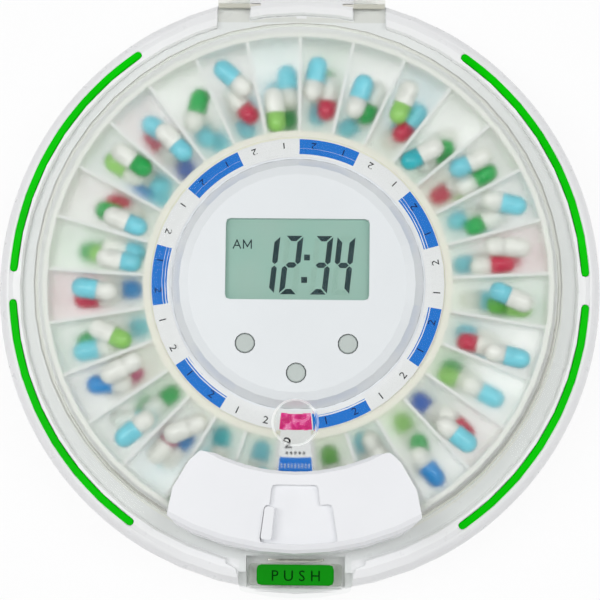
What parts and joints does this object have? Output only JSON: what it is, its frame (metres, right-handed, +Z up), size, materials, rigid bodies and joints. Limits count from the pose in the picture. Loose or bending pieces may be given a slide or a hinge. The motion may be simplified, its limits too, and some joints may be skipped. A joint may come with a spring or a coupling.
{
  "type": "electronic pill box",
  "caption": "Round electronic pill box: clear hinged lid over a geared carousel of dose cells, clock face with set buttons, light bars, sliding dispensing door, push latch and battery door.",
  "frame": {"origin": "on the carousel's axis, in the plane of the feet's undersides", "axes": "+Z up along the carousel's axis, -Y towards the front, where the latch and the dispensing door are, +X to the right seen from the front"},
  "size_m": [0.19, 0.1917, 0.0536],
  "materials": {
    "case_bottom": "fine satin moulded white",
    "case_top": "glossy moulded white",
    "face_white": "glossy moulded white",
    "panel_white": "glossy moulded white",
    "clear_lid": "clear moulded plastic, polished, frosted under its outer ring",
    "clear_lens": "clear polished plastic",
    "clear_window": "clear polished plastic",
    "latch_clear": "clear moulded plastic",
    "tray_milky": "satin translucent white",
    "light_green": "glossy green light guide",
    "label_green": "glossy green sticker",
    "button_grey": "satin grey",
    "gear_acetal": "satin natural acetal",
    "display_grey": "grey-green liquid crystal panel",
    "printed_card": "printed ring in blue and white fields",
    "board_green": "solder mask",
    "foot_rubber": "matte black",
    "plated_steel": "nickel plated",
    "motor_steel": "brushed",
    "spring_wire": "drawn wire, warm tint",
    "cell_wrap": "glossy printed sleeve"
  },
  "bodies": {
    "base": {"lower_case": "case_bottom", "upper_case": "case_top", "foot_1": "foot_rubber", "foot_2": "foot_rubber", "foot_3": "foot_rubber", "foot_4": "foot_rubber", "light_bar_1": "light_green", "light_bar_2": "light_green", "light_bar_3": "light_green", "light_bar_4": "light_green", "control_face": "face_white", "display_glass": "clear_window", "display_panel": "display_grey", "circuit_board": "board_green", "drive_plate": "gear_acetal", "gear_motor": "motor_steel", "hinge_rod": "plated_steel", "latch_spring": "spring_wire", "latch_wire": "spring_wire", "battery_1": "cell_wrap", "battery_2": "cell_wrap", "battery_3": "cell_wrap", "battery_4": "cell_wrap", "contact_strip_rear": "plated_steel", "contact_strip_front": "plated_steel", "speaker": "motor_steel"},
    "lid": {"lid": "clear_lid", "lens": "clear_lens", "front_panel": "panel_white"},
    "dispensing_door": {"dispensing_door": "panel_white"},
    "latch": {"latch_button": "latch_clear", "latch_label": "label_green"},
    "set_button_1": {"set_button_1": "button_grey"},
    "set_button_2": {"set_button_2": "button_grey"},
    "set_button_3": {"set_button_3": "button_grey"},
    "carousel": {"pill_tray": "tray_milky", "ring_gear": "gear_acetal", "dosage_ring": "printed_card"},
    "drive_pinion": {"drive_pinion": "gear_acetal"},
    "motor_gear": {"motor_gear": "gear_acetal"},
    "battery_door": {"battery_door": "case_bottom"}
  },
  "joints": [
    {"name": "lid_hinge", "type": "hinge", "parent": "base", "child": "lid", "pos_m": [0, 0.0899, 0.0272], "axis": [-1, 0, 0], "range_deg": [0, 105]},
    {"name": "door_slide", "type": "hinge", "parent": "lid", "child": "dispensing_door", "pos_m": [0, 0, 0.0468], "axis": [0, 0, 1], "range_deg": [0, 14]},
    {"name": "latch_press", "type": "slide", "parent": "base", "child": "latch", "axis": [0, 0, -1], "range_m": [0, 0.0014], "stiffness_N_per_m": 2500, "springref_m": -0.0008, "deforming": ["latch_spring"]},
    {"name": "set_1_press", "type": "slide", "parent": "base", "child": "set_button_1", "axis": [0, 0, -1], "range_m": [0, 0.0008], "stiffness_N_per_m": 1500, "springref_m": -0.0004},
    {"name": "set_2_press", "type": "slide", "parent": "base", "child": "set_button_2", "axis": [0, 0, -1], "range_m": [0, 0.0008], "stiffness_N_per_m": 1500, "springref_m": -0.0004},
    {"name": "set_3_press", "type": "slide", "parent": "base", "child": "set_button_3", "axis": [0, 0, -1], "range_m": [0, 0.0008], "stiffness_N_per_m": 1500, "springref_m": -0.0004},
    {"name": "carousel_turn", "type": "hinge", "parent": "base", "child": "carousel", "pos_m": [0, 0, 0.0147], "axis": [0, 0, 1], "continuous": true},
    {"name": "pinion_turn", "type": "hinge", "parent": "base", "child": "drive_pinion", "pos_m": [0, 0.0319, 0.024], "axis": [0, 0, 1], "continuous": true},
    {"name": "motor_turn", "type": "hinge", "parent": "base", "child": "motor_gear", "pos_m": [0, 0.01305, 0.024], "axis": [0, 0, 1], "continuous": true},
    {"name": "battery_door_hinge", "type": "hinge", "parent": "base", "child": "battery_door", "pos_m": [0, 0.0272, 0.00275], "axis": [1, 0, 0], "range_deg": [0, 100]}
  ],
  "couplings": [
    {"joint": "pinion_turn", "follows": "carousel_turn", "ratio": 4.1429},
    {"joint": "motor_turn", "follows": "carousel_turn", "ratio": -4.8333}
  ]
}
